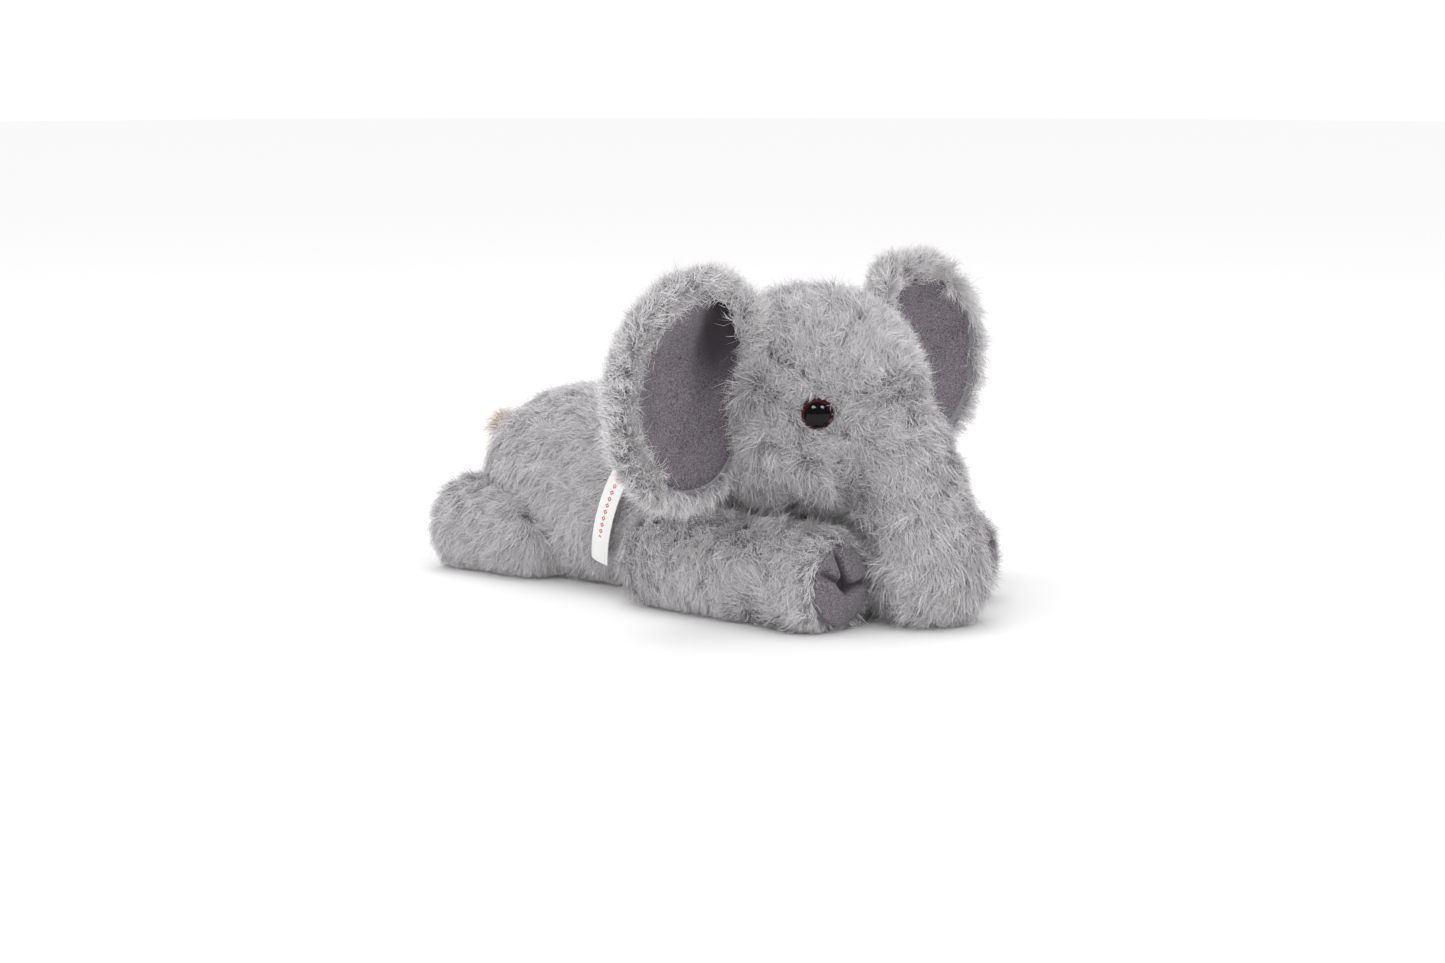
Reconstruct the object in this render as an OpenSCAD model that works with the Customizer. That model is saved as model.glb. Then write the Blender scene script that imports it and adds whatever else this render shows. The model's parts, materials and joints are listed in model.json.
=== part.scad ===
// Plush elephant lying on its belly.
// +Z is up, the head faces -Y and +X is the animal's left.
// The origin is on the floor under the middle of the animal.
// Every skin is fur fabric whose pile is pressed flat, so the long hair stands proud of it.

/* [Torso] */
// Width of the torso across the ribs
torso_w = 104; // [92:1:126]
// Height of the back above the floor
torso_h = 87; // [74:1:100]
// Length of the torso from the neck joint to the rump
torso_l = 180; // [156:1:217]
// Radius of the round neck that the head turns on
neck_r = 24; // [20:0.5:29]
// Length of the pouch of pellets in the belly
pouch_l = 74; // [50:1:90]

/* [Head] */
// Width of the head across the cheeks
head_w = 88; // [76:1:106]
// Length of the head from forehead to nape
head_l = 88; // [78:1:106]
// Height of the head from chin to crown
head_h = 99; // [90:1:119]
// Width of the strip of fur over the crown, as an angle round the head
crown_angle = 44; // [30:2:60]

/* [Trunk] */
// Diameter of the trunk where it leaves the face
trunk_root_d = 47; // [39:1:57]
// Diameter of the trunk at its tip
trunk_tip_d = 43; // [36:1:52]
// How far the tip lies in front of the trunk's root
trunk_reach = 31; // [25:1:38]

/* [Ears] */
// Width of an ear from the head to its outer edge
ear_w = 81; // [68:1:98]
// Height of an ear
ear_h = 102; // [85:1:122]
// How far the ear's edges curl forward
ear_cup = 14; // [6:1:18]
// How far the top of an ear leans forward
ear_lean = 14; // [6:1:18]
// Angle at which the ears sweep back from straight sideways, or forward below zero
ear_sweep = -4; // [-8:1:12]

/* [Legs] */
// Diameter of a front leg
front_leg_d = 43; // [36:1:51]
// Length of a front leg from the shoulder to the sole
front_leg_l = 102; // [85:1:123]
// Diameter of a hind leg
hind_leg_d = 43; // [36:1:51]
// Length of a hind leg from the hip to the sole
hind_leg_l = 52; // [43:1:63]
// Diameter of a suede sole
sole_d = 34; // [28:1:36]

/* [Tail and label] */
// Length of the tail
tail_l = 40; // [32:1:48]
// Diameter of the tail
tail_d = 10; // [8:0.5:12]
// Free length of the care label
label_l = 46; // [38:1:56]
// Width of the care label
label_w = 11; // [8:1:16]

/* [Eyes] */
// Diameter of a glossy eye
eye_d = 15; // [12:0.5:18]
// Diameter of the shank behind an eye
eye_shank_d = 4; // [3:0.5:6]
// Diameter of the washer that locks the shank
washer_d = 16; // [13:0.5:20]

/* [Cloth] */
// Thickness of the fur fabric with its pile pressed flat
fur_t = 3; // [2:0.25:4]
// Thickness of the suede in the ears and on the soles
suede_t = 1.2; // [0.8:0.1:1.6]
// Gap between two bodies that move against each other
move_gap = 0.8; // [0.4:0.1:1.2]
// Gap between a skin and what fills it
fill_gap = 0.3; // [0.2:0.1:0.6]

/* [Hidden] */

fur_grey = [0.74, 0.73, 0.75];
seam_grey = [0.68, 0.67, 0.70];
suede_grey = [0.44, 0.41, 0.44];
tail_tan = [0.72, 0.66, 0.60];
satin_white = [0.93, 0.94, 0.92];
eye_brown = [0.16, 0.05, 0.04];
washer_white = [0.92, 0.92, 0.90];
fill_white = [0.97, 0.97, 0.95];
pouch_blue = [0.55, 0.62, 0.70];

around = 28;            // points round a large form
around_small = 20;      // points round a leg or the tail
pole_r = 0.3;           // radius of the ring that closes a form's end
fill_t = fur_t + fill_gap;

// Where the bodies meet. The neck joint places the head, and the head places the face.
neck_y = -39.5;
neck_z = 68;
head_y = neck_y - head_l * 0.256;
head_z = neck_z + neck_r + 1;
trunk_y = head_y - head_l / 2 + 7.5;
trunk_z = head_z - 11;
trunk_r = trunk_root_d / 2;
tip_r = trunk_tip_d / 2;
tip_lift = 2;           // the trunk tip hangs just clear of the floor
tip_z = tip_r + tip_lift;
rump_y = neck_y + torso_l;
ear_gap = 2.6;          // between an ear's root and the cheek, past the travel gap
ear_axis_x = head_w / 2 - 2;
ear_axis_y = head_y + head_l * 0.205;
front_leg_r = front_leg_d / 2;
front_leg_x = torso_w / 2 - 4.5;
front_leg_y = neck_y + 24;
front_leg_toe = 1;      // the front legs turn inward a little
hind_leg_r = hind_leg_d / 2;
hind_leg_x = torso_w / 2 - 13;
hind_leg_y = rump_y - 54;
hind_leg_toe = -7;      // the hind legs turn outward
floor_press = 0.8;      // how far a stuffed leg is pressed flat by the floor
tail_y = rump_y + tail_d / 2 + 1;
tail_z = torso_h * 0.7;
eye_turn = 10.4 + trunk_root_d * 0.8; // angle from straight ahead, beside the trunk
eye_z = head_z + 1;
label_y = neck_y + 54;
label_gap = 4;          // the label lies on the fur, this far off the skin

// --- forms -------------------------------------------------------------
// A form is a list of stations [y, z, half width, half height, tilt]. Its second
// argument, inset, moves the whole surface inward, so a skin and its filling agree.

function bend(v, p) = sign(v) * pow(abs(v), p);
function bulge(s, p) = pow(max(0, 1 - pow(abs(s), p)), 1 / p);
function ring(st, n, low, square) = [
    for (i = [0:n - 1])
        ring_point(st, 360 * i / n, low, square)
];
function arc_ring(st, a0, a1, n, low, square) = [
    for (i = [0:n])
        ring_point(st, a0 + (a1 - a0) * i / n, low, square)
];
function ring_point(st, a, low, square) =
    let (up = st[3] * bend(sin(a), square))
    [st[2] * bend(cos(a), square), st[0] - up * sin(st[4]), max(low, st[1] + up * cos(st[4]))];

// Torso: a long soft egg that rests on the floor. The neck is a ball at its front, which
// narrows backward into the egg, so that the head can tip up round it.
torso_nose = neck_y + 19;    // the front end of the body, hidden behind the head
torso_half = (rump_y - torso_nose) / 2;
torso_mid = torso_nose + torso_half;
neck_taper = 0.21;
function body_share(y) = bulge(min(1, (y - torso_mid) / torso_half), 2.5);
function body_middle(y) = torso_h * 0.45 + 17 * pow(min(1, max(0, (torso_mid - y) / torso_half)), 3);
function neck_at(y, inset) = y < neck_y
    ? (neck_r - inset) * sqrt(max(0, 1 - pow((y - neck_y) / neck_r, 2)))
    : neck_r - inset - neck_taper * (y - neck_y);
function torso_station(y, inset) =
    let (
        ball = max(pole_r, neck_at(y, inset)),
        half = max(pole_r, torso_h * 0.55 * body_share(y) - inset),
        wide = max(pole_r, torso_w / 2 * body_share(y) - inset),
        top = max(neck_z + ball, body_middle(y) + half),
        base = min(neck_z - ball, body_middle(y) - half)
    )
    y > neck_y + torso_l * 0.4
        ? [y, body_middle(y), wide, half, 0]
        : [y, (top + base) / 2, max(ball, wide), (top - base) / 2, 0];
function torso_form(inset) = concat(
    [for (a = [1:17:86]) [neck_y - (neck_r - inset) * cos(a), neck_z,
                          (neck_r - inset) * sin(a), (neck_r - inset) * sin(a), 0]],
    [for (f = [0.03, 0.07, 0.11, 0.14, 0.18, 0.23, 0.31, 0.41, 0.5, 0.6, 0.7, 0.79, 0.87, 0.93, 0.97])
        torso_station(neck_y + f * torso_l, inset)],
    [[rump_y - 0.4 - inset, torso_h * 0.45, 9, 9, 0],
     [rump_y - inset, torso_h * 0.45, pole_r, pole_r, 0]]
);

// Head: a tall rounded egg, a little square across the crown.
function head_form(inset) = [
    for (a = [2:14.7:178.5])
        [head_y - (head_l / 2 - inset) * cos(a), head_z - 3 * sin(a) * cos(a),
         max(pole_r, (head_w / 2 - inset) * pow(sin(a), 0.86)),
         max(pole_r, (head_h / 2 - inset) * pow(sin(a), 0.9)), 0]
];

// Trunk: a round root that turns in the face, then a tube that bends down to the floor.
trunk_tilt = 48;
trunk_knee = [trunk_y - 35 * cos(trunk_tilt), trunk_z - 35 * sin(trunk_tilt)];
trunk_tip = [trunk_y - trunk_reach, tip_z];
function trunk_path(s) = (1 - s) * (1 - s) * [trunk_y, trunk_z]
    + 2 * s * (1 - s) * trunk_knee + s * s * trunk_tip;
function trunk_dir(s) =
    let (d = (1 - s) * (trunk_knee - [trunk_y, trunk_z]) + s * (trunk_tip - trunk_knee))
    d / norm(d);
function trunk_station(s, r) =
    let (c = trunk_path(s), d = trunk_dir(s))
    [c[0], c[1], r, r, atan2(-d[1], -d[0])];
function ball_station(c, d, r, a) =
    [c[0] + d[0] * r * sin(a), c[1] + d[1] * r * sin(a),
     max(pole_r, r * cos(a)), max(pole_r, r * cos(a)), atan2(-d[1], -d[0])];
function trunk_form(inset) = concat(
    [for (a = [-89:17.8:-15]) ball_station([trunk_y, trunk_z], trunk_dir(0), trunk_r - inset, a)],
    [for (s = [0:0.2:1]) trunk_station(s, trunk_r + (tip_r - trunk_r) * s - inset)],
    [for (a = [17.8:17.8:89]) ball_station(trunk_tip, trunk_dir(1), tip_r - inset, a)]
);

// Leg: a round root at the origin, a tube along -Y and a foot cut square for the sole.
foot_round = 9;
function leg_form(r, l, inset) = concat(
    [for (a = [-89:17.8:-15]) [-(r - inset) * sin(a), 0, (r - inset) * cos(a), (r - inset) * cos(a), 0]],
    [for (f = [0, 0.25, 0.5, 0.75]) [-(l - foot_round) * f, 0, r * (1 - 0.05 * sin(180 * f)) - inset,
                                     r * (1 - 0.05 * sin(180 * f)) - inset, 0]],
    [for (a = [0:22.5:90])
        let (foot = r - inset - foot_round * (1 - cos(a)) * 0.62)
        [-(l - foot_round) - (foot_round - inset) * sin(a), 0, foot, foot, 0]]
);

// --- solids made from forms --------------------------------------------

// A closed solid through whole rings, with a fan at each end.
module filled(rings) {
    n = len(rings[0]);
    m = len(rings);
    points = concat([for (r = rings) each r], [mean(rings[0])], [mean(rings[m - 1])]);
    sides = [for (i = [0:m - 2], j = [0:n - 1])
        let (k = (j + 1) % n)
        each [[i * n + j, i * n + k, (i + 1) * n + k], [i * n + j, (i + 1) * n + k, (i + 1) * n + j]]];
    ends = [for (j = [0:n - 1])
        let (k = (j + 1) % n)
        each [[m * n, k, j], [m * n + 1, (m - 1) * n + j, (m - 1) * n + k]]];
    polyhedron(points, concat(sides, ends), convexity = 6);
}
function mean(r) = [for (c = [0:2]) sum([for (p = r) p[c]]) / len(r)];
function sum(v, i = 0) = i < len(v) ? v[i] + sum(v, i + 1) : 0;

// A sheet of cloth: an outer and an inner grid of points, and the walls between their edges.
module cloth(outer, inner) {
    m = len(outer);
    n = len(outer[0]);
    size = m * n;
    grid = [for (i = [0:m - 2], j = [0:n - 2]) each [
        [i * n + j, i * n + j + 1, (i + 1) * n + j + 1], [i * n + j, (i + 1) * n + j + 1, (i + 1) * n + j]]];
    edge = concat(
        [for (j = [0:n - 1]) j],
        [for (i = [1:m - 1]) i * n + n - 1],
        [for (j = [n - 2:-1:0]) (m - 1) * n + j],
        [for (i = [m - 2:-1:1]) i * n]
    );
    walls = [for (k = [0:len(edge) - 1])
        let (a = edge[k], b = edge[(k + 1) % len(edge)])
        each [[a, a + size, b + size], [a, b + size, b]]];
    back = [for (f = grid) [f[0] + size, f[2] + size, f[1] + size]];
    polyhedron(concat([for (r = outer) each r], [for (r = inner) each r]),
               concat(grid, back, walls), convexity = 6);
}

// A panel of skin on a form, from angle a0 to a1 round it.
module panel(outer, inner, a0, a1, n, low, square) {
    cloth([for (s = outer) arc_ring(s, a0, a1, n, low, square)],
          [for (s = inner) arc_ring(s, a0, a1, n, low + fur_t, square)]);
}
module filling(form, n, low, square) {
    filled([for (s = form) ring(s, n, low + fill_t, square)]);
}
module both_sides() {
    children();
    mirror([1, 0, 0]) children();
}

// --- torso -------------------------------------------------------------
torso_square = 0.94;
belly_angle = 38;

// The room that the legs take out of the torso's sides.
module leg_rooms(extra) {
    both_sides() {
        translate([front_leg_x, front_leg_y, front_leg_r - floor_press])
            sphere(r = front_leg_r + extra, $fn = 64);
        translate([hind_leg_x, hind_leg_y, hind_leg_r - floor_press]) {
            sphere(r = hind_leg_r + extra, $fn = 64);
            rotate([-90, 0, hind_leg_toe])
                cylinder(r = hind_leg_r + extra, h = hind_leg_l + 20, $fn = 64);
        }
    }
}
module torso_panel(a0, a1, n) {
    difference() {
        panel(torso_form(0), torso_form(fur_t), a0, a1, n, 0, torso_square);
        leg_rooms(move_gap);
    }
}
module torso_back_left() {
    color(fur_grey) torso_panel(-belly_angle, 90, 10);
}
module torso_back_right() {
    color(fur_grey) torso_panel(90, 180 + belly_angle, 10);
}
module torso_belly() {
    color(seam_grey) torso_panel(180 + belly_angle, 360 - belly_angle, 8);
}
pouch_r = 17;
pouch_y = torso_mid - 6;
pouch_z = pouch_r + fill_t + 3;
module pouch_shape(extra) {
    translate([0, pouch_y, pouch_z]) {
        rotate([90, 0, 0])
            cylinder(r = pouch_r + extra, h = pouch_l - 2 * pouch_r, center = true, $fn = 64);
        for (side = [-1, 1])
            translate([0, side * (pouch_l / 2 - pouch_r), 0]) sphere(r = pouch_r + extra, $fn = 64);
    }
}
module torso_stuffing() {
    color(fill_white) difference() {
        filling(torso_form(fill_t), around, 0, torso_square);
        leg_rooms(move_gap + fill_t);
        pouch_shape(fill_gap);
    }
}
module pellet_pouch() {
    color(pouch_blue) pouch_shape(0);
}

// --- head --------------------------------------------------------------
module round_end_rod(r, l) {
    rotate_extrude($fn = 64) polygon(concat(
        [for (a = [-90:10:0]) [r * cos(a), r * sin(a)]], [[r, l], [0, l]]
    ));
}
head_square = 0.8;
chin_angle = 35;
head_lift = 12;         // how far the head tips up
chin_clear = 6;         // the chin panel ends this far from the neck's middle ball

// The room that the neck and the trunk take out of the head.
module head_rooms(extra) {
    translate([0, neck_y, neck_z]) rotate([-90 + head_lift / 2, 0, 0]) round_end_rod(neck_r + extra, 40);
    translate([0, trunk_y, trunk_z]) rotate([90 + trunk_tilt + 14, 0, 0])
        round_end_rod(trunk_r + extra, 70);
}
// Each eye lies in a shallow seat, and its shank goes through a hole in the skin.
module eye_holes() {
    both_sides() eye_place() {
        translate([0, 0, -eye_shank_l]) cylinder(d = eye_shank_d + 2 * fill_gap, h = 20, $fn = 32);
        translate([0, 0, -eye_sink]) cylinder(d = eye_d + 2 * fill_gap, h = 20, $fn = 64);
    }
}
module head_panel(a0, a1, n) {
    difference() {
        panel(head_form(0), head_form(fur_t), a0, a1, n, 0, head_square);
        head_rooms(move_gap);
        eye_holes();
    }
}
module head_crown() {
    color(seam_grey) head_panel(90 - crown_angle / 2, 90 + crown_angle / 2, 6);
}
module head_side_left() {
    color(fur_grey) head_panel(-90 + chin_angle, 90 - crown_angle / 2, 10);
}
module head_side_right() {
    color(fur_grey) head_panel(90 + crown_angle / 2, 270 - chin_angle, 10);
}
module head_chin() {
    color(seam_grey) difference() {
        head_panel(270 - chin_angle, 270 + chin_angle, 6);
        translate([0, neck_y, neck_z]) sphere(r = neck_r + chin_clear, $fn = 64);
    }
}
module head_stuffing() {
    color(fill_white) difference() {
        filling(head_form(fill_t), around, 0, head_square);
        head_rooms(move_gap + fill_t);
        both_sides() eye_place()
            translate([0, 0, -eye_shank_l - fill_gap])
                cylinder(d = washer_d + 2 * fill_gap, h = 30, $fn = 48);
    }
}

// --- trunk -------------------------------------------------------------
module trunk_front() {
    color(fur_grey) panel(trunk_form(0), trunk_form(fur_t), -20, 200, 14, 0, 1);
}
module trunk_underside() {
    color(seam_grey) panel(trunk_form(0), trunk_form(fur_t), 200, 340, 8, 0, 1);
}
module trunk_stuffing() {
    color(fill_white) filling(trunk_form(fill_t), around_small, 0, 1);
}

// --- ears --------------------------------------------------------------
// An ear is worked out in its own frame: u outward, v up and w forward from its root.
ear_half_w = ear_w / 2;
ear_half_h = ear_h / 2;
ear_up = 12;            // the ear's middle above the middle of the head
ear_slant = 11;         // the top of an ear leans in over the head
ear_tuck = 9;           // and its lower end is tucked in towards the neck
rim_share = 0.8;        // where the fur rim starts
lining_share = 0.79;    // where the suede lining ends
seat = 0.12;            // the suede lies this far off the backing
rim_t = 1.6;            // the fur rim stands over the lining's bed by this much

function cheek_x(z) = head_w / 2 * bulge((z - head_z) / (head_h / 2), 2.3);
function ear_root_u(v) = cheek_x(head_z + ear_up + v) + ear_gap + move_gap - ear_axis_x;
function ear_outline(a) =
    let (
        rise = max(0, sin(a)),
        fall = max(0, -sin(a)),
        u = ear_half_w * (1 + bend(cos(a), 0.9)) - ear_slant * rise * rise - ear_tuck * fall * fall,
        v = ear_half_h * bend(sin(a), 0.9)
    )
    [max(u, ear_root_u(v)), v];
ear_mid = [ear_half_w + 2, 0];
function ear_forward(u, v) =
    ear_cup * (0.75 * pow((u - ear_mid[0]) / ear_half_w, 2) + 0.3 * pow(v / ear_half_h, 2) - 0.35)
        + ear_lean * pow(max(0, v) / ear_half_h, 2);
function ear_point(share, a, off) =
    let (
        p = ear_mid + share * (ear_outline(a) - ear_mid)
    )
    [p[0], -ear_forward(p[0], p[1]) - off, p[1]];
function ear_ring(share, off) = [for (i = [0:31]) ear_point(share, -360 * i / 32, off)];

module ear_place() {
    translate([ear_axis_x, ear_axis_y, head_z + ear_up])
        rotate([0, 0, ear_sweep])
            children();
}
module ear_back() {
    color(fur_grey) ear_place()
        filled([
            ear_ring(0.02, -fur_t), ear_ring(0.3, -fur_t), ear_ring(0.6, -fur_t), ear_ring(0.85, -fur_t),
            ear_ring(1, -fur_t * 0.5), ear_ring(1, rim_t * 0.6), ear_ring(0.95, rim_t),
            ear_ring(rim_share, rim_t), ear_ring(rim_share, 0), ear_ring(lining_share, 0),
            ear_ring(0.65, 0), ear_ring(0.5, 0), ear_ring(0.02, 0)
        ]);
}
module ear_lining() {
    color(suede_grey) ear_place()
        filled([
            ear_ring(0.02, seat), ear_ring(0.5, seat), ear_ring(0.65, seat), ear_ring(lining_share, seat),
            ear_ring(lining_share, suede_t), ear_ring(0.65, suede_t), ear_ring(0.5, suede_t),
            ear_ring(0.02, suede_t)
        ]);
}

// --- legs --------------------------------------------------------------
module front_leg_place() {
    translate([front_leg_x, front_leg_y, front_leg_r - floor_press]) rotate([0, 0, -front_leg_toe])
        children();
}
module hind_leg_place() {
    translate([hind_leg_x, hind_leg_y, hind_leg_r - floor_press]) rotate([0, 0, 180 + hind_leg_toe])
        children();
}
module leg_panel(r, l, a0, a1) {
    panel(leg_form(r, l, 0), leg_form(r, l, fur_t), a0, a1, 10, -r + floor_press, 1);
}
module leg_stuffing(r, l) {
    filling(leg_form(r, l, fill_t), around_small, -r + floor_press, 1);
}
// A sole is a disc of suede that closes the cut end of the foot.
module leg_sole(l) {
    translate([0, -l, 0]) rotate([90, 0, 0]) cylinder(d = sole_d, h = suede_t, $fn = 64);
}

module front_leg_outer() {
    color(fur_grey) front_leg_place() leg_panel(front_leg_r, front_leg_l, -90, 90);
}
module front_leg_inner() {
    color(seam_grey) front_leg_place() leg_panel(front_leg_r, front_leg_l, 90, 270);
}
module front_leg_sole() {
    color(suede_grey) front_leg_place() leg_sole(front_leg_l);
}
module front_leg_stuffing() {
    color(fill_white) front_leg_place() leg_stuffing(front_leg_r, front_leg_l);
}
module hind_leg_outer() {
    color(fur_grey) hind_leg_place() leg_panel(hind_leg_r, hind_leg_l, 90, 270);
}
module hind_leg_inner() {
    color(seam_grey) hind_leg_place() leg_panel(hind_leg_r, hind_leg_l, -90, 90);
}
module hind_leg_sole() {
    color(suede_grey) hind_leg_place() leg_sole(hind_leg_l);
}
module hind_leg_stuffing() {
    color(fill_white) hind_leg_place() leg_stuffing(hind_leg_r, hind_leg_l);
}

// --- tail, label and eyes ----------------------------------------------
module tail() {
    color(tail_tan) translate([0, tail_y, tail_z]) {
        sphere(d = tail_d, $fn = 48);
        rotate([180, 0, 0]) cylinder(d1 = tail_d, d2 = tail_d * 0.7, h = tail_l * 0.6, $fn = 48);
        translate([0, 0, -tail_l * 0.6 - tail_d * 0.3]) sphere(d = tail_d * 1.1, $fn = 48);
    }
}
// The label is a folded satin strip. It leaves the side seam and hangs down over the ribs.
label_t = 0.6;
label_bend_r = torso_w / 2;
label_top = 24;         // angle of the sewn end above the widest line of the ribs
label_lean = 15;        // its free end hangs back towards the tail
label_sweep = label_l / label_bend_r * 180 / PI;
function label_point(r, a) = [-(r * cos(a) + label_gap), body_middle(label_y) + r * sin(a)];
label_root = label_point(label_bend_r - label_gap - 1, label_top);
module care_label() {
    steps = 12;
    inner_r = label_bend_r;
    outer_r = label_bend_r + label_t;
    tab = 1.2;
    outline = concat(
        [label_root, label_root + [0, tab]],
        [for (i = [0:steps]) label_point(outer_r, label_top - label_sweep * i / steps)],
        [for (i = [steps:-1:1]) label_point(inner_r, label_top - label_sweep * i / steps)]
    );
    color(satin_white) translate([0, label_y, label_root[1]]) rotate([label_lean, 0, 0])
        translate([0, label_w / 2, -label_root[1]]) rotate([90, 0, 0])
            linear_extrude(label_w) polygon(outline);
}
eye_shank_l = 9;
eye_dome = 5;           // height of an eye's dome
eye_sink = 0.8;         // how far an eye's rim is pressed into the skin
washer_t = 1.5;
washer_back = 1.3;      // the flat washer lies this far behind the skin's curved inner face
module eye_place() {
    reach = 1 / sqrt(pow(sin(eye_turn) / (head_w / 2), 2) + pow(cos(eye_turn) / (head_l / 2), 2));
    translate([reach * sin(eye_turn), head_y - reach * cos(eye_turn), eye_z])
        rotate([90, 0, eye_turn]) children();
}
module eye() {
    color(eye_brown) eye_place() rotate_extrude($fn = 64) polygon(concat(
        [[0, eye_dome], for (a = [10:10:90]) [eye_d / 2 * sin(a), eye_dome * cos(a)]],
        [[eye_d / 2, -eye_sink], [eye_shank_d / 2, -eye_sink], [eye_shank_d / 2, -eye_shank_l],
         [0, -eye_shank_l]]
    ));
}
module eye_washer() {
    color(washer_white) eye_place() translate([0, 0, -fur_t - washer_back - washer_t]) difference() {
        cylinder(d = washer_d, h = washer_t, $fn = 64);
        translate([0, 0, -1]) cylinder(d = eye_shank_d, h = 4, $fn = 48);
    }
}

torso_back_left();
torso_back_right();
torso_belly();
torso_stuffing();
pellet_pouch();
head_side_left();
head_side_right();
head_crown();
head_chin();
head_stuffing();
trunk_front();
trunk_underside();
trunk_stuffing();
ear_back();  // ear_back_left
ear_lining();  // ear_lining_left
mirror([1, 0, 0]) ear_back();  // ear_back_right
mirror([1, 0, 0]) ear_lining();  // ear_lining_right
front_leg_outer();  // front_leg_left_outer
front_leg_inner();  // front_leg_left_inner
front_leg_sole();  // front_leg_left_sole
front_leg_stuffing();  // front_leg_left_stuffing
mirror([1, 0, 0]) front_leg_outer();  // front_leg_right_outer
mirror([1, 0, 0]) front_leg_inner();  // front_leg_right_inner
mirror([1, 0, 0]) front_leg_sole();  // front_leg_right_sole
mirror([1, 0, 0]) front_leg_stuffing();  // front_leg_right_stuffing
hind_leg_outer();  // hind_leg_left_outer
hind_leg_inner();  // hind_leg_left_inner
hind_leg_sole();  // hind_leg_left_sole
hind_leg_stuffing();  // hind_leg_left_stuffing
mirror([1, 0, 0]) hind_leg_outer();  // hind_leg_right_outer
mirror([1, 0, 0]) hind_leg_inner();  // hind_leg_right_inner
mirror([1, 0, 0]) hind_leg_sole();  // hind_leg_right_sole
mirror([1, 0, 0]) hind_leg_stuffing();  // hind_leg_right_stuffing
tail();
care_label();
eye();  // eye_left
mirror([1, 0, 0]) eye();  // eye_right
eye_washer();  // eye_washer_left
mirror([1, 0, 0]) eye_washer();  // eye_washer_right
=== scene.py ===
import json
import math

import bpy
import numpy as np
from mathutils import Matrix, Vector
from mathutils.bvhtree import BVHTree
from mathutils.kdtree import KDTree

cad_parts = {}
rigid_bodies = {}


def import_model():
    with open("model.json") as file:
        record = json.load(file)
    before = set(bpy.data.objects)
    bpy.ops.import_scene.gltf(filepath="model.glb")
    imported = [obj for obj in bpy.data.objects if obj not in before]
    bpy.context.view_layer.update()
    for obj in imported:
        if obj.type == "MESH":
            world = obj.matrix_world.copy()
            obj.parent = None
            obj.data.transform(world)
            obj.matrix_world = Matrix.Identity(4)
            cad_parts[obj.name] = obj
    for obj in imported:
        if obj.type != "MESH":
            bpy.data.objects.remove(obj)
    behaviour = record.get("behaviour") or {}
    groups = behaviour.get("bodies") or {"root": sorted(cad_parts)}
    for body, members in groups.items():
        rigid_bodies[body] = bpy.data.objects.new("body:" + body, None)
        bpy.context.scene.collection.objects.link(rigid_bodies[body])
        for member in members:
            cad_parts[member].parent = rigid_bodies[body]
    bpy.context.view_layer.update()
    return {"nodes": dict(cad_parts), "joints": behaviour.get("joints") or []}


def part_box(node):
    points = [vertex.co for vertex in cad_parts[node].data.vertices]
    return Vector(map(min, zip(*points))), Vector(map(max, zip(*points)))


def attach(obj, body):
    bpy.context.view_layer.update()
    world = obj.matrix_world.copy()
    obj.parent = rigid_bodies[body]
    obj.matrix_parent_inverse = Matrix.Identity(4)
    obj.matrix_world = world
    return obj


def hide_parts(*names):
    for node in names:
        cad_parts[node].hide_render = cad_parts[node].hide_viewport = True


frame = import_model()
nodes = frame["nodes"]
joint_at = {j["name"]: Vector(j["pos_m"]) for j in frame["joints"]}
sides = ("left", "right")
# Lowest height of a skin and of pile over the table, and the most strands in one coat.
lowest_skin = 0.0002
lowest_pile = 0.0004
most_strands = 66000


def new_material(name, roughness):
    """A material with its nodes, its links and its main shader."""
    made = bpy.data.materials.new(name)
    made.use_nodes = True
    shader = made.node_tree.nodes["Principled BSDF"]
    shader.inputs["Roughness"].default_value = roughness
    return made, made.node_tree.nodes, made.node_tree.links, shader


# --- floor, light and camera -------------------------------------------------
# The elephant lies on a plain white table in a light tent. The big lamps
# stand in front and on both sides, and one hangs overhead.
scene = bpy.context.scene
scene.view_settings.view_transform = "Standard"
lamp_target = Vector((0, 0, 0.05))
camera_data = bpy.data.cameras.new("camera")
camera_data.lens = 77.5
camera_data.sensor_width = 36
camera_data.clip_end = 20
camera = bpy.data.objects.new("camera", camera_data)
scene.collection.objects.link(camera)
camera_spot = Vector((-1.0555, -1.0201, 0.2771))
camera_target = Vector((-0.0382, -0.0377, 0.0582))
camera.location = camera_spot
camera.rotation_euler = (camera_target - camera_spot).to_track_quat("-Z", "Y").to_euler()
scene.camera = camera


def tent_lamp(name, place, size, power):
    lamp_data = bpy.data.lights.new(name, "AREA")
    lamp_data.shape = "DISK"
    lamp_data.size = size
    lamp_data.energy = power
    lamp = bpy.data.objects.new(name, lamp_data)
    scene.collection.objects.link(lamp)
    lamp.location = place
    lamp.rotation_euler = (lamp_target - Vector(place)).to_track_quat("-Z", "Y").to_euler()
    return lamp


# The two shine lamps are seen only in glossy things: they give each eye its highlights.
tent_lamp("shine_left", (-1.39, -0.44, 1.14), size=0.5, power=11).visible_diffuse = False
tent_lamp("shine_right", (-0.4, -1.44, 1.14), size=0.5, power=11).visible_diffuse = False
tent_lamp("lamp_top", (0.1, 0.3, 1.4), size=1.0, power=5)
tent_lamp("lamp_front_left", (-1.35, -0.8, 1.15), size=0.22, power=2.6)
tent_lamp("lamp_front_right", (-0.65, -1.4, 1.15), size=0.16, power=1.6)
world = bpy.data.worlds.new("tent")
scene.world = world
world.use_nodes = True
tent = world.node_tree.nodes
tent_links = world.node_tree.links
tent_path = tent.new("ShaderNodeLightPath")
tent_mix = tent.new("ShaderNodeMixShader")
tent_gloss = tent.new("ShaderNodeMixShader")
tent_white = tent.new("ShaderNodeBackground")
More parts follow.
